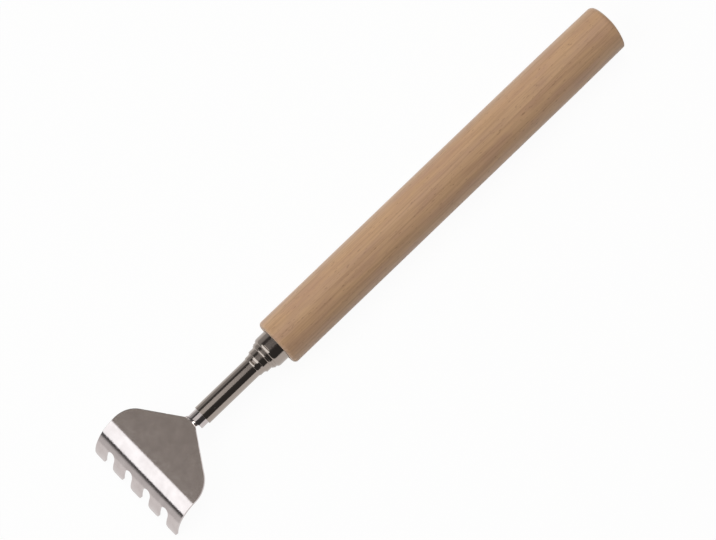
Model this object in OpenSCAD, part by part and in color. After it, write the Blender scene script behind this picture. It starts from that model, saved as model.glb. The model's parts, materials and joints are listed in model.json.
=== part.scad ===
// Telescopic back scratcher: a wooden handle, four nested steel tubes and a stamped steel claw.
// It lies on a table with its teeth down. The tubes run along X, with the claw towards -X.

/* [Handle] */
// Diameter of the turned handle
handle_d = 20; // [17:0.5:26]
// Length of the handle
handle_length = 173.8; // [160:0.2:240]
// Rounding of the edge around the tubes
handle_front_round = 0.6; // [0.3:0.1:1.2]
// Rounding of the edge at the far end
handle_end_round = 1.4; // [0.5:0.1:3]
// Length of the slight taper at the far end
taper_length = 26; // [10:1:60]
// How much the taper takes off the diameter
taper_drop = 0.4; // [0.1:0.1:1.5]
// Depth of the blind bore for the tubes
socket_depth = 150; // [110:1:160]
// Glue film between the handle and the outer tube
glue_gap = 0.05; // [0.02:0.01:0.15]

/* [Tubes] */
// Outside diameter of the fixed outer tube
outer_tube_d = 13.4; // [12.6:0.1:15.5]
// Outside diameter of the second tube
second_tube_d = 11.2; // [10.8:0.1:12]
// Outside diameter of the third tube
third_tube_d = 9.4; // [9.2:0.1:9.8]
// Outside diameter of the front tube
front_tube_d = 8; // [7.2:0.1:8.2]
// Wall of the three swaged tubes
tube_wall = 0.3; // [0.2:0.02:0.36]
// Wall of the front tube
front_wall = 0.5; // [0.3:0.05:0.8]
// Full diameter of the outer tube that shows in front of the handle
outer_show = 3.8; // [2:0.1:12]
// Length over which a swaged end closes in
shoulder_length = 1.3; // [0.8:0.1:3]
// Length of the outer tube's neck
outer_neck = 1.5; // [0.8:0.1:5]
// Length of the second tube's neck
second_neck = 1.9; // [0.8:0.1:5]
// Length of the third tube's neck
third_neck = 1.4; // [0.8:0.1:5]
// Front tube that shows when all is pushed in
front_show = 25.9; // [18:0.1:50]
// Radial running clearance of a tube in the neck around it
neck_clearance = 0.05; // [0.02:0.01:0.08]
// Width of the round dent that stakes the front tube to the claw
dent_d = 1.3; // [0.8:0.1:1.8]
// Depth of that dent
dent_depth = 0.25; // [0.1:0.05:0.3]
// Distance of the dent from the front tube's end
dent_back = 4.9; // [2:0.1:9]
// Turn of the dent from the top towards -Y
dent_turn = 38; // [0:1:60]

/* [Tube tails] */
// Length of the plug inside the outer tube
plug_length = 5; // [3:0.5:10]
// Thickness of the plug's flange, behind the outer tube
plug_flange = 1; // [0.6:0.1:3]
// Radial gap around the plug
plug_clearance = 0.02; // [0.01:0.01:0.05]
// Free space between the tails and the plug
tail_gap = 0.3; // [0.1:0.1:1]
// Length of the ring at the very end of each tube
tail_ring_length = 4; // [2:0.5:8]
// Length of the ring that meets the shoulder
stop_ring_length = 3; // [2:0.5:8]
// Length of the spring sleeve between the two rings
sleeve_length = 12; // [8:0.5:20]
// Thickness of the spring sleeve
sleeve_thickness = 0.15; // [0.1:0.01:0.18]
// Width of the slit along the spring sleeve
sleeve_slit = 1.2; // [0.5:0.1:2.5]
// Radial running clearance of rings and sleeves in the bore around them
bore_clearance = 0.05; // [0.02:0.01:0.08]
// Radial gap of rings and sleeves on their own tube
seat_clearance = 0.02; // [0.01:0.01:0.04]
// Gap at each end of the spring sleeve
sleeve_end_gap = 0.1; // [0.05:0.05:0.3]

/* [Claw] */
// Thickness of the steel sheet
sheet = 1; // [0.7:0.1:1.4]
// Width across the teeth
claw_width = 47.6; // [38:0.2:60]
// Number of teeth
tooth_count = 5; // [3:1:6]
// Width of the notches between the teeth
notch_width = 4.6; // [3:0.1:5.2]
// Length of the teeth, along the curl
tooth_length = 8.2; // [6:0.1:11]
// Rounding of the corners at the tips
tip_round = 1.4; // [0.5:0.1:1.8]
// Slope of the sheet, down from the tang's top to the curl
droop = 6; // [3:0.1:8]
// How far the curl turns down
curl_angle = 76; // [66:1:84]
// Slope of the flared edges against the tubes
flank_angle = 58; // [45:1:68]
// Rounding where a flared edge turns into a side
shoulder_round = 11; // [6:0.5:14]
// Rounding where the neck flares out
neck_round = 0.5; // [0.3:0.1:5]
// Straight side between the rounding and the curl
side_straight = 0.9; // [0.4:0.1:8]
// Half the width of the flat sheet at the neck
neck_half = 2.8; // [2.6:0.1:3.3]
// Bare tang between the front tube and the relief cut
tang_show = 3.5; // [1:0.1:6]
// Length of the tang inside the front tube
tang_length = 16; // [12:0.5:30]
// Width of the open seam along the tang's underside
tang_seam = 2; // [0.8:0.1:3]
// Radial gap of the tang in the front tube
tang_clearance = 0.02; // [0.01:0.01:0.04]
// Length of the relief cut beside the neck
relief_length = 1.2; // [0.6:0.1:2]
// Height of the relief cut above the tubes' centre
relief_height = 2; // [0.6:0.1:2.2]
// Length over which the rolled tang runs out under the sheet
runout_length = 6.5; // [4:0.5:10]

/* [Hidden] */

wood = [0.73, 0.6, 0.47];
steel = [0.75, 0.75, 0.74];
stamped_steel = [0.6, 0.58, 0.56];
brass = [0.8, 0.66, 0.35];
bronze = [0.7, 0.45, 0.3];
nylon = [0.9, 0.88, 0.82];

curve_steps = 8;
curl_steps = 16;
round_fn = 64;
cut_margin = 1;
tip_overrun = 5;
tip_bite = 0.02;
root_ease = 0.02;
sheet_lap = 0.4;
sheet_sink = 0.05;
sheet_proud = 0.05;

outer_r = outer_tube_d / 2;
second_r = second_tube_d / 2;
third_r = third_tube_d / 2;
front_r = front_tube_d / 2;
outer_bore = outer_r - tube_wall;
second_bore = second_r - tube_wall;
third_bore = third_r - tube_wall;
front_bore = front_r - front_wall;

// Stations along the tubes are counted from the handle's front face towards the claw.
outer_tail = plug_flange - socket_depth;
inner_tail = outer_tail + plug_length + tail_gap;
outer_rim = outer_show + shoulder_length + outer_neck;
second_rim = outer_rim + shoulder_length + second_neck;
third_rim = second_rim + shoulder_length + third_neck;
front_end = third_rim + front_show;

// Stations on the claw are counted from the front tube's end.
tang_r = front_bore - tang_clearance;
relief_end = tang_show + relief_length;
flank_rise = claw_width / 2 - neck_half - (shoulder_round + neck_round) * (1 - cos(flank_angle));
flank_start = relief_end + neck_round * sin(flank_angle);
side_start = flank_start + flank_rise / tan(flank_angle) + shoulder_round * sin(flank_angle);
curl_start = side_start + side_straight;

// The curl's radius brings the tips down to the table that the handle lies on.
axis_z = handle_d / 2;
sheet_rise = tang_r + sheet_proud;
curl_rise = sheet_rise - (curl_start - relief_end) * tan(droop);
curl_r = (axis_z + curl_rise - sheet * cos(curl_angle)) / (cos(droop) - cos(curl_angle));
curl_centre = [curl_start - curl_r * sin(droop), curl_rise - curl_r * cos(droop)];
curl_z = axis_z + curl_centre[1];
claw_end = curl_centre[0] + curl_r * sin(curl_angle);

// The origin lies under the middle of the whole length.
face_x = (front_end + claw_end - handle_length) / 2;
claw_x = face_x - front_end;
curl_x = claw_x - curl_centre[0];

tooth_width = (claw_width - (tooth_count - 1) * notch_width) / tooth_count;
tooth_pitch = tooth_width + notch_width;
root_angle = curl_angle - (tooth_length - notch_width / 2) / curl_r * 180 / PI;

// Half a cosine wave that falls from 1 to 0
function fall(t) = (1 + cos(180 * t)) / 2;

// Points of a round stretch between two angles
function arc(centre, r, from, to, steps = curve_steps) = [
    for (i = [0 : steps])
        let (a = from + (to - from) * i / steps)
        centre + r * [cos(a), sin(a)]
];

// Turns a profile of radius and station about the tubes' axis
module turned() {
    translate([face_x, 0, axis_z])
        rotate([0, -90, 0])
        rotate_extrude($fn = round_fn)
        children();
}

// A tube with its front end swaged down to a neck around the next tube
module swaged_tube(r, tail, rim, neck, inner_r) {
    neck_r = inner_r + neck_clearance + tube_wall;
    shoulder = rim - neck - shoulder_length;
    outside = [
        for (i = [0 : curve_steps])
            let (t = i / curve_steps)
            [neck_r + (r - neck_r) * fall(t), shoulder + shoulder_length * t]
    ];
    inside = [for (i = [curve_steps : -1 : 0]) outside[i] - [tube_wall, 0]];
    color(steel)
        turned()
        polygon(concat(
            [[r, tail]],
            outside,
            [[neck_r, rim], [neck_r - tube_wall, rim]],
            inside,
            [[r - tube_wall, tail]]
        ));
}

// A ring that sits on a tube and runs in the bore around it
module tail_band(r, bore, start, length) {
    color(brass)
        turned()
        translate([r + seat_clearance, start])
        square([bore - bore_clearance - r - seat_clearance, length]);
}

module tail_ring(r, bore) {
    tail_band(r, bore, inner_tail, tail_ring_length);
}

module stop_ring(r, bore) {
    start = inner_tail + tail_ring_length + sleeve_length + 2 * sleeve_end_gap;
    tail_band(r, bore, start, stop_ring_length);
}

// A bowed sleeve, split along its length, whose middle rubs on the bore around it
module friction_sleeve(r, bore) {
    start = inner_tail + tail_ring_length + sleeve_end_gap;
    low = r + seat_clearance;
    bow = bore - bore_clearance - low - sleeve_thickness;
    inside = [
        for (i = [0 : curve_steps])
            let (t = i / curve_steps)
            [low + bow * sin(180 * t), start + sleeve_length * t]
    ];
    outside = [for (i = [curve_steps : -1 : 0]) inside[i] + [sleeve_thickness, 0]];
    color(bronze)
        difference() {
            turned()
                polygon(concat(inside, outside));
            translate([face_x - start - sleeve_length - cut_margin, -sleeve_slit / 2, axis_z])
                cube([sleeve_length + 2 * cut_margin, sleeve_slit, bore]);
        }
}

module handle() {
    r = handle_d / 2;
    end_r = r - taper_drop / 2;
    front_round = arc([r - handle_front_round, -handle_front_round], handle_front_round, 90, 0);
    end_round = arc(
        [end_r - handle_end_round, handle_end_round - handle_length], handle_end_round, 0, -90
    );
    color(wood)
        turned()
        polygon(concat(
            [[outer_r + glue_gap, 0]],
            front_round,
            [[r, taper_length - handle_length]],
            end_round,
            [[0, -handle_length], [0, -socket_depth], [outer_r + glue_gap, -socket_depth]]
        ));
}

module outer_tube() {
    swaged_tube(outer_r, outer_tail, outer_rim, outer_neck, second_r);
}

module tail_plug() {
    color(nylon)
        turned()
        polygon([
            [0, -socket_depth],
            [outer_r, -socket_depth],
            [outer_r, outer_tail],
            [outer_bore - plug_clearance, outer_tail],
            [outer_bore - plug_clearance, outer_tail + plug_length],
            [0, outer_tail + plug_length]
        ]);
}

module second_tube() {
    swaged_tube(second_r, inner_tail, second_rim, second_neck, third_r);
}

module second_stop_ring() {
    stop_ring(second_r, outer_bore);
}

module second_friction_sleeve() {
    friction_sleeve(second_r, outer_bore);
}

module second_tail_ring() {
    tail_ring(second_r, outer_bore);
}

module third_tube() {
    swaged_tube(third_r, inner_tail, third_rim, third_neck, front_r);
}

module third_stop_ring() {
    stop_ring(third_r, second_bore);
}

module third_friction_sleeve() {
    friction_sleeve(third_r, second_bore);
}

module third_tail_ring() {
    tail_ring(third_r, second_bore);
}

module front_tube() {
    dent_r = (pow(dent_d / 2, 2) + pow(dent_depth, 2)) / (2 * dent_depth);
    color(steel)
        difference() {
            turned()
                translate([front_bore, inner_tail])
                square([front_wall, front_end - inner_tail]);
            on_claw(-dent_back)
                rotate([dent_turn, 0, 0])
                translate([0, 0, front_r + dent_r - dent_depth])
                sphere(r = dent_r, $fn = round_fn);
        }
}

module front_stop_ring() {
    stop_ring(front_r, third_bore);
}

module front_friction_sleeve() {
    friction_sleeve(front_r, third_bore);
}

module front_tail_ring() {
    tail_ring(front_r, third_bore);
}

// Places a shape by its station on the claw, on the tubes' axis
module on_claw(station) {
    translate([claw_x - station, 0, axis_z])
        children();
}

// A round bar or cone on the tubes' axis, between two stations on the claw
module claw_bar(from, to, r_from, r_to) {
    on_claw(from)
        rotate([0, -90, 0])
        cylinder(h = to - from, r1 = r_from, r2 = r_to, $fn = round_fn);
}

// Half of the sheet's outline seen from above, as stations and half widths
function half_outline() = concat(
    [[relief_end - cut_margin, neck_half]],
    arc([relief_end, neck_half + neck_round], neck_round, -90, flank_angle - 90),
    arc([side_start, claw_width / 2 - shoulder_round], shoulder_round, 90 + flank_angle, 90),
    [[claw_end + cut_margin, claw_width / 2]]
);

module sheet_outline() {
    half = half_outline();
    last = len(half) - 1;
    on_claw(0)
        translate([0, 0, -handle_d])
        linear_extrude(2 * handle_d)
        polygon(concat(
            [for (p = half) [-p[0], p[1]]],
            [for (i = [last : -1 : 0]) [-half[i][0], -half[i][1]]]
        ));
}

// The sheet seen from the side: sloping down from the tang's top, then curled down to the tips
module sheet_band() {
    start = relief_end - sheet_lap;
    start_z = sheet_rise + sheet_lap * tan(droop);
    profile = concat(
        [[start, start_z]],
        arc(curl_centre, curl_r, 90 - droop, 90 - curl_angle, curl_steps),
        arc(curl_centre, curl_r - sheet, 90 - curl_angle, 90 - droop, curl_steps),
        [[start, start_z - sheet / cos(droop)]]
    );
    on_claw(0)
        rotate([90, 0, 0])
        linear_extrude(claw_width + 2 * cut_margin, center = true)
        polygon([for (p = profile) [-p[0], p[1]]]);
}

// The sheet, narrowed at the neck by a cone that opens out of the tang's round top
module curled_sheet() {
    start = relief_end - sheet_lap;
    end = claw_end + cut_margin;
    start_r = tang_r - sheet_sink;
    intersection() {
        sheet_band();
        sheet_outline();
        claw_bar(start, end, start_r, start_r + (end - start) * tan(flank_angle));
    }
}

// The tang rolled round into the front tube, open along its underside, and its run-out under the sheet
module rolled_tang() {
    difference() {
        union() {
            claw_bar(-tang_length, relief_end, tang_r, tang_r);
            claw_bar(relief_end, relief_end + runout_length, tang_r, sheet / 4);
        }
        on_claw(relief_end + runout_length + cut_margin)
            translate([0, -front_r, -front_r])
            cube([runout_length + relief_length + cut_margin, front_tube_d, front_r + relief_height]);
        on_claw(relief_end)
            translate([0, -tang_seam / 2, -front_r])
            cube([tang_length + relief_end + cut_margin, tang_seam, front_r]);
    }
}

module tang_hollow() {
    hollow_r = tang_r - sheet;
    hollow_end = tang_show + relief_length / 2;
    claw_bar(-tang_length - cut_margin, hollow_end, hollow_r, hollow_r);
    claw_bar(hollow_end, hollow_end + runout_length * hollow_r / tang_r, hollow_r, sheet / 20);
}

// Stands a shape on the curl at an angle, with Z pointing out of the curl
module on_curl(angle) {
    translate([curl_x, 0, curl_z])
        rotate([0, -angle, 0])
        children();
}

// A slot between two teeth, with a round root a hair wider than the slot
module notch() {
    inside = curl_r - sheet - cut_margin;
    outside = curl_r + cut_margin;
    translate([curl_x, notch_width / 2, curl_z])
        rotate([90, 0, 0])
        rotate([0, 0, 90 + root_angle])
        rotate_extrude(angle = curl_angle - root_angle + tip_overrun, $fn = round_fn)
        translate([inside, 0])
        square([outside - inside, notch_width]);
    on_curl(root_angle)
        translate([0, 0, inside])
        cylinder(h = outside - inside, d = notch_width + 2 * root_ease, $fn = round_fn);
}

// What rounding takes off both corners of one tooth's tip, starting just outside its faces
module tip_corners() {
    bite_r = tip_round - tip_bite;
    on_curl(curl_angle)
        for (side = [-1, 1])
        translate([bite_r, side * (tooth_width / 2 - bite_r), curl_r - sheet - cut_margin])
        linear_extrude(sheet + 2 * cut_margin)
        difference() {
            translate([-2 * tip_round, side > 0 ? 0 : -2 * tip_round])
                square(2 * tip_round);
            circle(r = tip_round, $fn = round_fn);
            translate([0, -2 * tip_round])
                square(4 * tip_round);
        }
}

module claw_head() {
    color(stamped_steel)
        difference() {
            union() {
                curled_sheet();
                rolled_tang();
            }
            tang_hollow();
            for (i = [1 : tooth_count - 1])
                translate([0, (i - tooth_count / 2) * tooth_pitch, 0])
                notch();
            for (i = [1 : tooth_count])
                translate([0, (i - (tooth_count + 1) / 2) * tooth_pitch, 0])
                tip_corners();
        }
}

handle();
outer_tube();
tail_plug();
second_tube();
second_stop_ring();
second_friction_sleeve();
second_tail_ring();
third_tube();
third_stop_ring();
third_friction_sleeve();
third_tail_ring();
front_tube();
front_stop_ring();
front_friction_sleeve();
front_tail_ring();
claw_head();
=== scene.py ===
import json
from math import asin, atan2, cos, pi, radians, sin, sqrt, tan

import bmesh
import bpy
from mathutils import Matrix, Vector


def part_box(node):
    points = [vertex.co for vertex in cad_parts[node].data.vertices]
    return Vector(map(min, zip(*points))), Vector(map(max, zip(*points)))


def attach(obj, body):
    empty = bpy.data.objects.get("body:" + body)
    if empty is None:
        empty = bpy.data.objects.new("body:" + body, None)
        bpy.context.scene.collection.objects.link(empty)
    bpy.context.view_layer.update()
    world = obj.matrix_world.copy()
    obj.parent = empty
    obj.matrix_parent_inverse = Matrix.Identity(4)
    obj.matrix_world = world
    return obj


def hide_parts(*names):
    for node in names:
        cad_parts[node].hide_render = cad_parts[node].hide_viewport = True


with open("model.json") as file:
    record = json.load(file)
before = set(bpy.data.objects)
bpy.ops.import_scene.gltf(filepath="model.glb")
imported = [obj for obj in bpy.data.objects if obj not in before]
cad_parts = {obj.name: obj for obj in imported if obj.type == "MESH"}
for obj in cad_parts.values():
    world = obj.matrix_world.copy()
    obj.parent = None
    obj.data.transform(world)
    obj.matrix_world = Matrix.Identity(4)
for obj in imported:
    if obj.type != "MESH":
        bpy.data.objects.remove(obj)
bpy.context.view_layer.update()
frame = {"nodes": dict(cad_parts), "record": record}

MM = 0.001
SIDES = 128
MERGE = 2e-6
SMOOTH_BELOW = radians(35)
SHARP_ABOVE = radians(50)

# The tubes' axis, the handle's front face and the front tube's end, from the solids
handle_low, handle_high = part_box("handle")
FACE_X = handle_low.x
AXIS_Z = frame["record"]["mounts"][0]["pos_m"][2]
CLAW_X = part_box("front_tube")[0].x

# Handle, in millimetres; EDGE_LEAD is how far beside a rounded edge the next ring lies
HANDLE_R = 10
HANDLE_LENGTH = (handle_high.x - handle_low.x) / MM
HANDLE_RINGS = (-40, -80, -120)
FRONT_ROUND = 1.5
END_ROUND = 2.2
END_R = 9.8
END_RINGS = (4, 0.6)
EDGE_LEAD = 0.6
TAPER_LENGTH = 26
FACET = radians(8.5)
FACET_TURN = radians(45)
FACET_START = -3.5
SOCKET_R = 6.75
SOCKET_DEPTH = 150
CHAMFER_DEPTH, CHAMFER = 0.2, 0.15

# Tubes, in millimetres; stations are counted from the handle's front face towards the claw
OUTER_R, SECOND_R, THIRD_R, FRONT_R = 6.7, 5.6, 4.7, 4
TUBE_WALL = 0.3
FRONT_WALL = 0.5
FRONT_RINGS = (0, 60, 120)
NECK_CLEARANCE = 0.05
RIM_ROUND = 0.05
RIM_LEAD = 1
DENT_BACK = 4.9
DENT_D = 1.3
DENT_DEPTH = 0.18
DENT_TURN = radians(38)
DENT_REACH = 0.6
DENT_STEPS = 8

# Swaged shoulders: start, length, bulge (1 is round, 0 a cone), length and drop of the rim
SHOULDERS = {
    "outer_tube": (3.9, 1.6, 1, 0.1, 0),
    "second_tube": (6.6, 0.85, 1, 0.1, 0),
    "third_tube": (9.8, 0.8, 0, 0.48, 0.16),
}
SHOULDER_STEPS = 24
SHOULDER_LEAD = 2
SHOULDER_EDGE = 0.05

# Claw, in millimetres; stations are counted from the front tube's end towards the tips
SHEET = 1
TANG_R = 3.48
TANG_LENGTH = 16
TANG_MOUTH = -0.5
TANG_SHOW = 3.5
TANG_SEAM = 2
EAR_ROUND = 0.9
EAR_STEPS = 10
EAR_LEAD = 0.1
RELIEF_END = 4.7
FLATTEN = 1.5
SHEET_PROUD = 0.05
DROOP = radians(6)
NECK_HALF = 2.8
NECK_ROUND = 0.5
FLANK = radians(58)
SHOULDER_ROUND = 11
SIDE_STRAIGHT = 0.9
CLAW_HALF = 23.79
CURL_ANGLE = radians(76)
TEETH = 5
NOTCH = 4.6
NOTCH_STEPS = 10
TOOTH_LENGTH = 8.2
TIP_ROUND = 1.4
TIP_STEPS = 4
TIP_CLEARANCE = 0.02
ROOT_EASE = 1.6
TIP_EASE = 1
EDGE_ROUND = 0.026
DEBURR_START = 9

# Sockets of a Mix node that mixes colours
SHARE, FIRST, SECOND, MIXED = 0, 6, 7, 2


def fall(t):
    """Half a cosine wave that falls from 1 to 0."""
    return (1 + cos(pi * min(max(t, 0), 1))) / 2


def span(start, end, steps):
    """Even steps from start up to, but not with, the end."""
    return [start + (end - start) * i / steps for i in range(steps)]


def turned(name, rings):
    """Draws a ring out from station to station along the tubes' axis, as a lathe would cut it."""
    places = [(FACE_X - station * MM, radius * MM) for station, radius in rings]
    x, radius = places[0]
    bpy.ops.object.select_all(action="DESELECT")
    bpy.ops.mesh.primitive_circle_add(
        vertices=SIDES, radius=radius, location=(x, 0, AXIS_Z), rotation=(0, pi / 2, 0)
    )
    piece = bpy.context.object
    piece.name = piece.data.name = name
    bpy.ops.object.transform_apply(location=True, rotation=True, scale=True)
    bpy.ops.object.mode_set(mode="EDIT")
    bpy.ops.mesh.select_all(action="SELECT")
    for next_x, next_radius in places[1:]:
        bpy.ops.mesh.extrude_region_move(TRANSFORM_OT_translate={"value": (next_x - x, 0, 0)})
        growth = next_radius / radius
        bpy.ops.transform.resize(value=(1, growth, growth), center_override=(next_x, 0, AXIS_Z))
        x, radius = next_x, next_radius
    bpy.ops.mesh.select_all(action="SELECT")
    bpy.ops.mesh.remove_doubles(threshold=MERGE)
    bpy.ops.mesh.fill_holes(sides=0)
    bpy.ops.mesh.normals_make_consistent(inside=False)
    bpy.ops.object.mode_set(mode="OBJECT")
    bpy.ops.object.shade_smooth_by_angle(angle=SMOOTH_BELOW)
    return piece


def arc(station, radius, r, start, end, steps=10):
    """Rings of a rounded edge; the angle counts from the front towards the outside."""
    angles = [radians(start + (end - start) * i / steps) for i in range(steps + 1)]
    return [(station + r * cos(a), radius + r * sin(a)) for a in angles]


def make_handle():
    """Turned stick with a socket for the tubes, a slight taper and rounded ends."""
    end = -HANDLE_LENGTH
    rings = [(-SOCKET_DEPTH, SOCKET_R), (-CHAMFER_DEPTH, SOCKET_R), (0, SOCKET_R + CHAMFER)]
    rings += [(0, HANDLE_R - FRONT_ROUND - EDGE_LEAD)]
    rings += arc(-FRONT_ROUND, HANDLE_R - FRONT_ROUND, FRONT_ROUND, 0, 90)
    rings += [(station, HANDLE_R) for station in (-FRONT_ROUND - EDGE_LEAD, *HANDLE_RINGS)]
    rings += [(end + TAPER_LENGTH, HANDLE_R), (end + END_ROUND + EDGE_LEAD, END_R)]
    rings += arc(end + END_ROUND, END_R - END_ROUND, END_ROUND, 90, 180)
    rings += [(end, radius) for radius in (END_R - END_ROUND - EDGE_LEAD, *END_RINGS)]
    piece = turned("beech_handle", rings)
    # The far end is not sawn quite square: a slanted facet towards the near side and down
    facing = Vector((0, -cos(FACET_TURN), -sin(FACET_TURN)))
    bpy.ops.object.mode_set(mode="EDIT")
    bpy.ops.mesh.select_all(action="SELECT")
    bpy.ops.mesh.bisect(
        plane_co=Vector((FACE_X - end * MM, 0, AXIS_Z)) + facing * FACET_START * MM,
        plane_no=Vector((cos(FACET), 0, 0)) + facing * sin(FACET),
        use_fill=True, clear_outer=True, threshold=1e-7,
    )
    bpy.ops.object.mode_set(mode="OBJECT")
    bpy.ops.object.shade_smooth_by_angle(angle=SMOOTH_BELOW)
    return piece


def make_swaged_tube(name, node, r, inner_r):
    """A tube swaged down to a neck around the next tube, by a cone or a round shoulder."""
    start, length, bulge, rim_length, rim_drop = SHOULDERS[node]
    low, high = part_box(node)
    tail, rim = (FACE_X - high.x) / MM, (FACE_X - low.x) / MM
    neck_r = inner_r + NECK_CLEARANCE + TUBE_WALL
    shoulder = []
    for i in range(SHOULDER_STEPS + 1):
        turn = pi / 2 * i / SHOULDER_STEPS
        share = (1 - sin(turn)) + bulge * (cos(turn) - 1 + sin(turn))
        shoulder.append((start + length * sin(turn), neck_r + (r - neck_r) * share))
    rings = [(tail, r), (start - SHOULDER_LEAD, r), (start - SHOULDER_EDGE, r)] + shoulder
    rings += [(start + length + SHOULDER_EDGE, neck_r), (rim - rim_length, neck_r)]
    rings += [(rim - RIM_ROUND, neck_r - rim_drop), (rim, neck_r - rim_drop - RIM_ROUND)]
    rings += [(rim, neck_r - TUBE_WALL)]
    rings += [(station, radius - TUBE_WALL) for station, radius in reversed(shoulder)]
    rings += [(tail, r - TUBE_WALL), (tail, r)]
    return turned(name, rings)


def make_front_tube():
    """Plain tube with a rounded rim and the small dent that holds the claw's tang."""
    low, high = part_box("front_tube")
    tail, end = (FACE_X - high.x) / MM, (FACE_X - low.x) / MM
    dent = end - DENT_BACK
    rings = [(tail + station, FRONT_R) for station in FRONT_RINGS]
    rings += [
        (dent + DENT_D * (i / DENT_STEPS - 1) * DENT_REACH, FRONT_R)
        for i in range(2 * DENT_STEPS + 1)
    ]
    rings += [(end - RIM_LEAD, FRONT_R), (end - 2 * RIM_ROUND, FRONT_R)]
    rings += arc(end - RIM_ROUND, FRONT_R - RIM_ROUND, RIM_ROUND, 90, 0, steps=5)
    rings += [(end, FRONT_R - FRONT_WALL), (tail, FRONT_R - FRONT_WALL), (tail, FRONT_R)]
    piece = turned("front_tube_polished", rings)
    for v in piece.data.vertices:
        y, z = v.co.y / MM, (v.co.z - AXIS_Z) / MM
        if y * y + z * z < (FRONT_R - FRONT_WALL / 2) ** 2:
            continue
        along = (FACE_X - v.co.x) / MM - dent
        around = FRONT_R * (atan2(-y, z) - DENT_TURN)
        near = 1 - (along * along + around * around) / (DENT_D / 2) ** 2
        if near > 0:
            sunk = 1 - DENT_DEPTH * near / FRONT_R
            v.co.y, v.co.z = y * sunk * MM, AXIS_Z + z * sunk * MM
    return piece


# The flat outline of the claw, from the same sizes as the solid's
FLANK_START = RELIEF_END + NECK_ROUND * sin(FLANK)
FLANK_RISE = CLAW_HALF - NECK_HALF - (SHOULDER_ROUND + NECK_ROUND) * (1 - cos(FLANK))
SHOULDER_START = FLANK_START + FLANK_RISE / tan(FLANK)
SIDE_START = SHOULDER_START + SHOULDER_ROUND * sin(FLANK)
CURL_START = SIDE_START + SIDE_STRAIGHT
CURL_RISE = TANG_R + SHEET_PROUD - (CURL_START - RELIEF_END) * tan(DROOP)
CURL_FALL = AXIS_Z / MM + CURL_RISE - SHEET * cos(CURL_ANGLE) - TIP_CLEARANCE
CURL_R = CURL_FALL / (cos(DROOP) - cos(CURL_ANGLE))
TIP = CURL_START + CURL_R * (CURL_ANGLE - DROOP)
ROOT = TIP - TOOTH_LENGTH + NOTCH / 2
TOOTH = (2 * CLAW_HALF - (TEETH - 1) * NOTCH) / TEETH
ROOT_BLEND = ROOT - NOTCH / 2 - ROOT_EASE
TIP_BLEND = TIP - TIP_ROUND - TIP_EASE
TANG_HALF = TANG_R * (pi - asin(TANG_SEAM / 2 / TANG_R))
ARCH_ANGLE = asin(NECK_HALF / TANG_R)
ARCH_HALF = TANG_R * ARCH_ANGLE


def claw_rows():
    """Stations of the sheet's cross lines, closer where the outline or the form bends."""
    ear_start = TANG_SHOW - EAR_ROUND
    rows = span(-TANG_LENGTH, TANG_MOUTH, 8) + span(TANG_MOUTH, ear_start, 3)
    rows += [ear_start + EAR_ROUND * sin(pi / 2 * i / EAR_STEPS) for i in range(EAR_STEPS + 1)]
    rows += span(TANG_SHOW + EAR_LEAD, RELIEF_END, 12) + span(RELIEF_END, FLANK_START, 8)
    rows += span(FLANK_START, SHOULDER_START, 22) + span(SHOULDER_START, SIDE_START, 16)
    rows += span(SIDE_START, CURL_START, 3) + span(CURL_START, ROOT_BLEND, 18)
    rows += span(ROOT_BLEND, ROOT, 9) + span(ROOT, TIP_BLEND, 7) + span(TIP_BLEND, TIP, 7)
    return rows + [TIP]


def claw_columns():
    """Places across the teeth and notches, and for each the notch or tooth that it lies in."""
    places = []
    for tooth in range(TEETH):
        start = tooth * (TOOTH + NOTCH) - CLAW_HALF
        corner = [TIP_ROUND * (1 - cos(pi / 2 * i / TIP_STEPS)) for i in range(TIP_STEPS + 1)]
        offsets = corner + [TOOTH / 2] + [TOOTH - c for c in reversed(corner)]
        places += [(start + offset, "tooth", start + TOOTH / 2) for offset in offsets]
        if tooth < TEETH - 1:
            centre = start + TOOTH + NOTCH / 2
            places += [
                (centre - NOTCH / 2 * cos(pi * i / NOTCH_STEPS), "notch", centre)
                for i in range(1, NOTCH_STEPS)
            ]
    return places


def half_width(station):
    """Half the sheet's width, measured along the rolled tang or across the flat sheet."""
    ear = station - TANG_SHOW + EAR_ROUND
    if station <= TANG_SHOW:
        return ARCH_HALF + (TANG_HALF - ARCH_HALF) * sqrt(1 - (max(ear, 0) / EAR_ROUND) ** 2)
    if station <= RELIEF_END:
        return NECK_HALF
    if station <= FLANK_START:
        return NECK_HALF + NECK_ROUND - sqrt(NECK_ROUND**2 - (station - RELIEF_END) ** 2)
    if station <= SHOULDER_START:
        flank_foot = NECK_HALF + NECK_ROUND * (1 - cos(FLANK))
        return flank_foot + (station - FLANK_START) * tan(FLANK)
    back = max(SIDE_START - station, 0)
    return CLAW_HALF - SHOULDER_ROUND + sqrt(SHOULDER_ROUND**2 - back**2)


def pressed(station, share):
    """Where a point of the flat blank goes: tang rolled, neck flattened out, teeth curled down."""
    half = half_width(station)
    if station <= TANG_SHOW:
        angle = share * half / TANG_R
        return station, TANG_R * sin(angle), TANG_R * cos(angle)
    if station > CURL_START:
        angle = DROOP + (station - CURL_START) / CURL_R
        along = CURL_START + CURL_R * (sin(angle) - sin(DROOP))
        return along, share * half, CURL_RISE - CURL_R * (cos(DROOP) - cos(angle))
    arch = fall((station - TANG_SHOW) / FLATTEN)
    arched = TANG_R * sin(share * ARCH_ANGLE) * half / NECK_HALF
    y = share * half + arch * (arched - share * half)
    z = TANG_R + SHEET_PROUD * (1 - arch) - max(station - RELIEF_END, 0) * tan(DROOP)
    if arch > 0:
        bend_r = TANG_R / arch
        z -= bend_r - sqrt(bend_r**2 - y**2)
    return station, y, z


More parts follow.
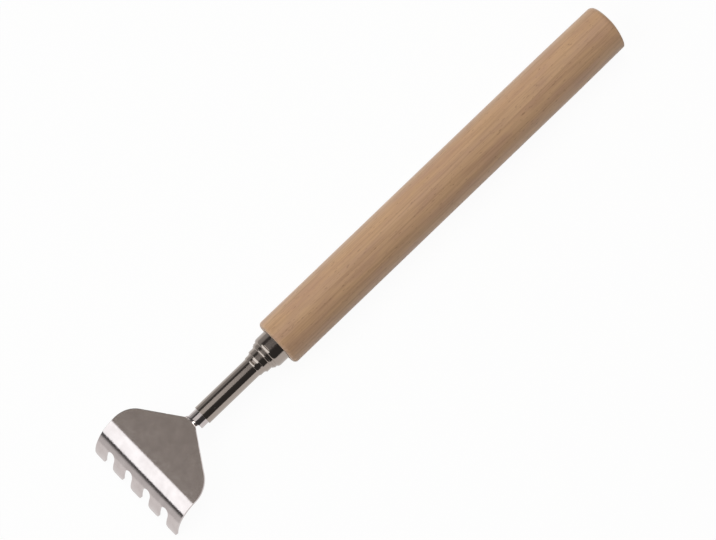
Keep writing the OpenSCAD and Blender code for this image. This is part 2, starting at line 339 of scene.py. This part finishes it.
def make_claw():
    """One sheet, cut to the outline with its notches, pressed to form and given its thickness."""
    rows, columns = claw_rows(), claw_columns()
    last_row, last_column = len(rows) - 1, len(columns) - 1
    bpy.ops.object.select_all(action="DESELECT")
    bpy.ops.mesh.primitive_grid_add(x_subdivisions=last_row, y_subdivisions=last_column, size=1)
    piece = bpy.context.object
    piece.name = piece.data.name = "claw_sheet"

    root_row = rows.index(ROOT)
    bpy.ops.object.mode_set(mode="EDIT")
    bpy.ops.mesh.select_all(action="DESELECT")
    sheet = bmesh.from_edit_mesh(piece.data)
    for face in sheet.faces:
        place = face.calc_center_median()
        row = int((place.x + 0.5) * last_row)
        column = int((place.y + 0.5) * last_column)
        sides = {columns[column][1], columns[column + 1][1]}
        face.select_set(row >= root_row and "notch" in sides)
    bmesh.update_edit_mesh(piece.data)
    bpy.ops.mesh.delete(type="FACE")
    bpy.ops.object.mode_set(mode="OBJECT")

    for v in piece.data.vertices:
        row = round((v.co.x + 0.5) * last_row)
        column = round((v.co.y + 0.5) * last_column)
        station = rows[row]
        across, kind, centre = columns[column]
        even = 2 * column / last_column - 1
        mix = fall((SIDE_START - station) / (SIDE_START - FLANK_START))
        share = even + (across / CLAW_HALF - even) * mix
        if kind == "notch" and station > ROOT_BLEND:
            bottom = ROOT - sqrt((NOTCH / 2) ** 2 - (across - centre) ** 2)
            reach = (bottom - ROOT_BLEND) * (station - ROOT_BLEND) / (ROOT - ROOT_BLEND)
            station = ROOT_BLEND + reach
        if kind == "tooth" and station > TIP_BLEND:
            inset = max(abs(across - centre) - TOOTH / 2 + TIP_ROUND, 0)
            end = TIP - TIP_ROUND + sqrt(max(TIP_ROUND**2 - inset**2, 0))
            reach = (end - TIP_BLEND) * (station - TIP_BLEND) / (TIP - TIP_BLEND)
            station = TIP_BLEND + reach
        along, y, z = pressed(station, share)
        v.co = (CLAW_X - along * MM, -y * MM, AXIS_Z + z * MM)

    solidify = piece.modifiers.new("sheet thickness", "SOLIDIFY")
    solidify.thickness = SHEET * MM
    solidify.offset = -1
    bpy.ops.object.modifier_apply(modifier="sheet thickness")

    # Deburred edges round the paddle and the teeth, as wide as the fine mesh has room for
    bpy.ops.object.mode_set(mode="EDIT")
    bpy.ops.mesh.select_mode(type="EDGE")
    bpy.ops.mesh.select_all(action="DESELECT")
    bpy.ops.mesh.edges_select_sharp(sharpness=SHARP_ABOVE)
    sheet = bmesh.from_edit_mesh(piece.data)
    for edge in sheet.edges:
        if max(v.co.x for v in edge.verts) > CLAW_X - DEBURR_START * MM:
            edge.select_set(False)
    bmesh.update_edit_mesh(piece.data)
    bpy.ops.mesh.bevel(offset=EDGE_ROUND * MM, segments=2, affect="EDGES", clamp_overlap=True)
    bpy.ops.mesh.select_mode(type="VERT")
    bpy.ops.object.mode_set(mode="OBJECT")
    bpy.ops.object.shade_smooth_by_angle(angle=SMOOTH_BELOW)
    return piece


def linear(hex_colour):
    """An sRGB hex colour as linear red, green, blue and alpha."""
    parts = [int(hex_colour[i:i + 2], 16) / 255 for i in (1, 3, 5)]
    return [p / 12.92 if p <= 0.04045 else ((p + 0.055) / 1.055) ** 2.4 for p in parts] + [1]


def add(tree, kind, values=None, links=None, **settings):
    """Adds a shader node with its settings, socket values and links."""
    node = tree.nodes.new("ShaderNode" + kind)
    for name, value in settings.items():
        setattr(node, name, value)
    for socket, value in (values or {}).items():
        node.inputs[socket].default_value = value
    for socket, source in (links or {}).items():
        tree.links.new(source, node.inputs[socket])
    return node


def new_material(name):
    """A new material, with its node tree and its shader."""
    material = bpy.data.materials.new(name)
    material.use_nodes = True
    tree = material.node_tree
    return material, tree, tree.nodes["Principled BSDF"]


def bare_beech():
    """Turned beech, sanded and left bare: fine grain along the handle, dark flecks, dull sheen."""
    material, tree, shader = new_material("bare_beech")
    place = add(tree, "TexCoord").outputs["Object"]
    # Bands of early and late wood, about 5 mm apart and far longer than the handle is thick
    bands_at = add(tree, "Mapping", {"Scale": (6, 190, 190)}, {"Vector": place})
    bands = add(tree, "TexNoise", {"Scale": 1, "Detail": 2}, {"Vector": bands_at.outputs[0]})
    tone = add(
        tree, "Mix", {FIRST: linear("#be9369"), SECOND: linear("#d3ac87")},
        {SHARE: bands.outputs[0]}, data_type="RGBA",
    )
    # Pinker mottling in patches about 3 mm wide and 15 mm long
    mottle_at = add(tree, "Mapping", {"Scale": (65, 330, 330)}, {"Vector": place})
    mottle = add(tree, "TexNoise", {"Scale": 1, "Detail": 2}, {"Vector": mottle_at.outputs[0]})
    pink = add(
        tree, "MapRange", {"From Min": 0.4, "From Max": 0.7, "To Max": 0.7},
        {"Value": mottle.outputs[0]},
    )
    mottled = add(
        tree, "Mix", {SECOND: linear("#bb9277")},
        {SHARE: pink.outputs[0], FIRST: tone.outputs[MIXED]}, data_type="RGBA",
    )
    # Grain lines, about 0.8 mm apart and 40 mm long
    grain_at = add(tree, "Mapping", {"Scale": (25, 1200, 1200)}, {"Vector": place})
    grain = add(
        tree, "TexNoise", {"Scale": 1, "Detail": 3, "Roughness": 0.6},
        {"Vector": grain_at.outputs[0]},
    )
    line = add(
        tree, "MapRange", {"From Min": 0.42, "From Max": 0.8, "To Max": 0.6},
        {"Value": grain.outputs[0]},
    )
    lined = add(
        tree, "Mix", {SECOND: linear("#98714e")},
        {SHARE: line.outputs[0], FIRST: mottled.outputs[MIXED]}, data_type="RGBA",
    )
    # Ray flecks, about 2 mm long and 0.4 mm wide
    flecks_at = add(tree, "Mapping", {"Scale": (450, 2200, 2200)}, {"Vector": place})
    flecks = add(tree, "TexNoise", {"Scale": 1, "Detail": 1}, {"Vector": flecks_at.outputs[0]})
    fleck = add(
        tree, "MapRange", {"From Min": 0.65, "From Max": 0.77, "To Max": 0.6},
        {"Value": flecks.outputs[0]},
    )
    flecked = add(
        tree, "Mix", {SECOND: linear("#8a6341")},
        {SHARE: fleck.outputs[0], FIRST: lined.outputs[MIXED]}, data_type="RGBA",
    )
    rough = add(tree, "MapRange", {"To Min": 0.5, "To Max": 0.64}, {"Value": grain.outputs[0]})
    bump = add(tree, "Bump", {"Strength": 0.5, "Distance": 0.00003}, {"Height": grain.outputs[0]})
    # Fine raised fibres left by sanding catch light along the sides
    shader.inputs["Sheen Weight"].default_value = 0.4
    shader.inputs["Sheen Roughness"].default_value = 0.5
    tree.links.new(flecked.outputs[MIXED], shader.inputs["Base Color"])
    tree.links.new(rough.outputs[0], shader.inputs["Roughness"])
    tree.links.new(bump.outputs[0], shader.inputs["Normal"])
    return material


def drawn_stainless():
    """Drawn stainless tube, polished: mirror-like, with faint marks along the draw."""
    material, tree, shader = new_material("polished_drawn_stainless")
    place = add(tree, "TexCoord").outputs["Object"]
    # Draw marks, 0.3 mm apart and 60 mm long; finer in life, but they would not show
    marks_at = add(tree, "Mapping", {"Scale": (16, 3300, 3300)}, {"Vector": place})
    marks = add(tree, "TexNoise", {"Scale": 1, "Detail": 2}, {"Vector": marks_at.outputs[0]})
    rough = add(tree, "MapRange", {"To Min": 0.07, "To Max": 0.17}, {"Value": marks.outputs[0]})
    bump = add(tree, "Bump", {"Strength": 0.15, "Distance": 0.00001}, {"Height": marks.outputs[0]})
    shader.inputs["Base Color"].default_value = linear("#a2978f")
    shader.inputs["Metallic"].default_value = 1
    tree.links.new(rough.outputs[0], shader.inputs["Roughness"])
    tree.links.new(bump.outputs[0], shader.inputs["Normal"])
    return material


def brushed_stainless():
    """Stainless sheet, finely brushed along the claw: clear bands of light with ragged edges."""
    material, tree, shader = new_material("brushed_stainless_sheet")
    place = add(tree, "TexCoord").outputs["Object"]
    # Brush marks, about 0.4 mm apart and 1.4 mm long; finer in life, but they would not show
    marks_at = add(tree, "Mapping", {"Scale": (700, 2600, 2600)}, {"Vector": place})
    marks = add(tree, "TexNoise", {"Scale": 1, "Detail": 3}, {"Vector": marks_at.outputs[0]})
    rough = add(tree, "MapRange", {"To Min": 0.07, "To Max": 0.13}, {"Value": marks.outputs[0]})
    bump = add(tree, "Bump", {"Strength": 0.5, "Distance": 0.00003}, {"Height": marks.outputs[0]})
    # Handling smears the shine in patches about 4 mm wide
    smears = add(tree, "TexNoise", {"Scale": 250, "Detail": 3}, {"Vector": place})
    smear = add(
        tree, "MapRange", {"From Min": 0.3, "From Max": 0.7}, {"Value": smears.outputs[0]}
    )
    colour = add(
        tree, "Mix", {FIRST: linear("#beb4b2"), SECOND: linear("#c9c0be")},
        {SHARE: smear.outputs[0]}, data_type="RGBA",
    )
    shader.inputs["Metallic"].default_value = 1
    tree.links.new(colour.outputs[MIXED], shader.inputs["Base Color"])
    tree.links.new(rough.outputs[0], shader.inputs["Roughness"])
    tree.links.new(bump.outputs[0], shader.inputs["Normal"])
    return material


def turned_metal(name, dark, light, low, high):
    """Turned brass or rolled bronze: a warm metal, fine rings round the axis, a little tarnish."""
    material, tree, shader = new_material(name)
    place = add(tree, "TexCoord").outputs["Object"]
    # Tool rings, 0.25 mm apart
    rings_at = add(tree, "Mapping", {"Scale": (4000, 60, 60)}, {"Vector": place})
    rings = add(tree, "TexNoise", {"Scale": 1, "Detail": 1}, {"Vector": rings_at.outputs[0]})
    # Tarnish in patches about 3 mm wide
    patches = add(tree, "TexNoise", {"Scale": 330, "Detail": 3}, {"Vector": place})
    colour = add(
        tree, "Mix", {FIRST: linear(dark), SECOND: linear(light)},
        {SHARE: patches.outputs[0]}, data_type="RGBA",
    )
    rough = add(tree, "MapRange", {"To Min": low, "To Max": high}, {"Value": rings.outputs[0]})
    bump = add(tree, "Bump", {"Strength": 0.2, "Distance": 0.00001}, {"Height": rings.outputs[0]})
    shader.inputs["Metallic"].default_value = 1
    tree.links.new(colour.outputs[MIXED], shader.inputs["Base Color"])
    tree.links.new(rough.outputs[0], shader.inputs["Roughness"])
    tree.links.new(bump.outputs[0], shader.inputs["Normal"])
    return material


def moulded_nylon():
    """Natural nylon, moulded: milky, faintly mottled, dull."""
    material, tree, shader = new_material("moulded_nylon")
    place = add(tree, "TexCoord").outputs["Object"]
    # Mottle about 2 mm wide
    mottle = add(tree, "TexNoise", {"Scale": 500, "Detail": 2}, {"Vector": place})
    colour = add(
        tree, "Mix", {FIRST: linear("#ddd6c4"), SECOND: linear("#ece7da")},
        {SHARE: mottle.outputs[0]}, data_type="RGBA",
    )
    rough = add(tree, "MapRange", {"To Min": 0.4, "To Max": 0.55}, {"Value": mottle.outputs[0]})
    shader.inputs["IOR"].default_value = 1.53
    tree.links.new(colour.outputs[MIXED], shader.inputs["Base Color"])
    tree.links.new(rough.outputs[0], shader.inputs["Roughness"])
    return material


def white_floor():
    """Matt white sweep that the camera and the steel see as nearly white, with a faint shadow."""
    material, tree, shader = new_material("white_floor")
    shader.inputs["Base Color"].default_value = linear("#f4f3f1")
    shader.inputs["Roughness"].default_value = 0.9
    path = add(tree, "LightPath")
    seen = add(
        tree, "Math", operation="MAXIMUM",
        links={0: path.outputs["Is Camera Ray"], 1: path.outputs["Is Glossy Ray"]},
    )
    seen = add(
        tree, "Math", operation="MAXIMUM",
        links={0: seen.outputs[0], 1: path.outputs["Is Transmission Ray"]},
    )
    share = add(tree, "Math", {1: FLOOR_GLOW}, {0: seen.outputs[0]}, operation="MULTIPLY")
    glow = add(tree, "Emission", {"Strength": 1})
    mixed = add(
        tree, "MixShader", links={0: share.outputs[0], 1: shader.outputs[0], 2: glow.outputs[0]}
    )
    tree.links.new(mixed.outputs[0], tree.nodes["Material Output"].inputs["Surface"])
    return material


# Dressed pieces in place of the plain solids
beech = bare_beech()
polished = drawn_stainless()
brushed = brushed_stainless()
brass = turned_metal("turned_brass", "#b98f4a", "#d9b46a", 0.2, 0.34)
bronze = turned_metal("rolled_spring_bronze", "#a06a45", "#c08a5c", 0.22, 0.36)
nylon = moulded_nylon()

dressed = [
    (make_handle(), "handle", "handle", "beech", beech),
    (make_swaged_tube("outer_tube_polished", "outer_tube", OUTER_R, SECOND_R),
     "outer_tube", "handle", "tube_steel", polished),
    (make_swaged_tube("second_tube_polished", "second_tube", SECOND_R, THIRD_R),
     "second_tube", "second_tube", "tube_steel", polished),
    (make_swaged_tube("third_tube_polished", "third_tube", THIRD_R, FRONT_R),
     "third_tube", "third_tube", "tube_steel", polished),
    (make_front_tube(), "front_tube", "claw", "tube_steel", polished),
    (make_claw(), "claw_head", "claw", "sheet_steel", brushed),
]
for piece, node, body, slot, material in dressed:
    piece.data.materials.clear()
    piece.data.materials.append(material)
    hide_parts(node)
    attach(piece, body)

# The small inner fittings keep their solids
inner = {"tail_plug": nylon}
for stage in ("second", "third", "front"):
    inner[stage + "_stop_ring"] = inner[stage + "_tail_ring"] = brass
    inner[stage + "_friction_sleeve"] = bronze
for node, material in inner.items():
    for material_slot in frame["nodes"][node].material_slots:
        material_slot.material = material

# Floor, in metres, and the share of its white that does not take the shadow
FLOOR_SIZE = 40
FLOOR_GLOW = 0.95
bpy.ops.object.select_all(action="DESELECT")
bpy.ops.mesh.primitive_plane_add(size=FLOOR_SIZE, location=(0, 0, 0))
floor = bpy.context.object
floor.name = floor.data.name = "floor"
floor.data.materials.append(white_floor())

# Light from all round: greys by the angle from straight up towards the far side, dark behind
# the camera
STUDIO = [
    (-120, 0.6), (-95, 0.5), (-85, 0.06), (-34, 0.06), (-22, 0.12), (22, 0.14), (30, 0.08),
    (46, 0.08), (55, 0.42), (80, 0.5), (95, 0.7),
]
world = bpy.data.worlds.new("studio")
bpy.context.scene.world = world
world.use_nodes = True
sky = world.node_tree
direction = add(sky, "SeparateXYZ", links={0: add(sky, "TexCoord").outputs["Generated"]})
turn = add(
    sky, "Math", links={0: direction.outputs[1], 1: direction.outputs[2]}, operation="ARCTAN2"
)
height = add(sky, "MapRange", {"From Min": -pi, "From Max": pi}, {"Value": turn.outputs[0]})
ramp = add(sky, "ValToRGB", links={0: height.outputs[0]})
stops = ramp.color_ramp.elements
for angle, grey in STUDIO:
    stop = stops.new((angle + 180) / 360)
    stop.color = (grey, grey, grey, 1)
stops.remove(stops[0])
stops.remove(stops[len(stops) - 1])

# A pale wall beyond the claw, in a round patch that reaches about 32 degrees from the tubes' axis
WALL_START, WALL_FULL = -0.83, -0.87
WALL_GREY = 0.77
wall = add(
    sky, "MapRange", {"From Min": WALL_START, "From Max": WALL_FULL},
    {"Value": direction.outputs[0]},
)
around = add(
    sky, "Mix", {SECOND: (WALL_GREY, WALL_GREY, WALL_GREY, 1)},
    {SHARE: wall.outputs[0], FIRST: ramp.outputs[0]}, data_type="RGBA",
)
sky.links.new(around.outputs[MIXED], sky.nodes["Background"].inputs["Color"])

# Soft boxes overhead, in metres: corners, radiance and colour. The claw's curl mirrors the first,
# its flat sheet the second and the tubes the third; the fourth lights the wood
LAMP_HEIGHT = 1
LAMPS = [
    ("claw_softbox", (-1.63, -0.6), (-0.355, 0.95), 1.81, "#f6fcff"),
    ("sheet_softbox", (-0.355, -0.38), (-0.17, 0.9), 0.225, "#fff2e1"),
    ("tube_softbox", (-0.17, -0.38), (-0.012, 0.46), 0.85, "#ffffff"),
    ("handle_softbox", (0.2, -0.35), (0.7, 0.65), 3.6, "#fffbf6"),
]
for name, low, high, radiance, colour in LAMPS:
    middle = ((low[0] + high[0]) / 2, (low[1] + high[1]) / 2, LAMP_HEIGHT)
    bpy.ops.object.light_add(type="AREA", location=middle)
    lamp = bpy.context.object
    lamp.name = name
    lamp.visible_camera = False
    lamp.data.shape = "RECTANGLE"
    lamp.data.color = linear(colour)[:3]
    lamp.data.size = high[0] - low[0]
    lamp.data.size_y = high[1] - low[1]
    lamp.data.energy = pi * lamp.data.size * lamp.data.size_y * radiance

# Camera, as the photo was taken: high over the near side, rolled
AZIMUTH, ELEVATION, ROLL = radians(12), radians(65), radians(-32.926)
DISTANCE = 1.5
AIM_RIGHT, AIM_UP = -4.73 * MM, -6.05 * MM
FOCAL_PIXELS, IMAGE_WIDTH = 4015.602, 716
SENSOR_WIDTH = 36
ahead = Vector((sin(AZIMUTH) * cos(ELEVATION), cos(AZIMUTH) * cos(ELEVATION), -sin(ELEVATION)))
level = Vector((cos(AZIMUTH), -sin(AZIMUTH), 0))
upright = level.cross(ahead)
right = level * cos(ROLL) + upright * sin(ROLL)
up = upright * cos(ROLL) - level * sin(ROLL)
eye = Vector((0, 0, AXIS_Z)) + right * AIM_RIGHT + up * AIM_UP - ahead * DISTANCE
bpy.ops.object.camera_add()
camera = bpy.context.object
camera.name = "camera"
camera.matrix_world = Matrix.Translation(eye) @ Matrix((right, up, -ahead)).transposed().to_4x4()
camera.data.sensor_fit = "HORIZONTAL"
camera.data.sensor_width = SENSOR_WIDTH
camera.data.lens = FOCAL_PIXELS / IMAGE_WIDTH * SENSOR_WIDTH
bpy.context.scene.camera = camera

bpy.context.scene.view_settings.view_transform = "Standard"
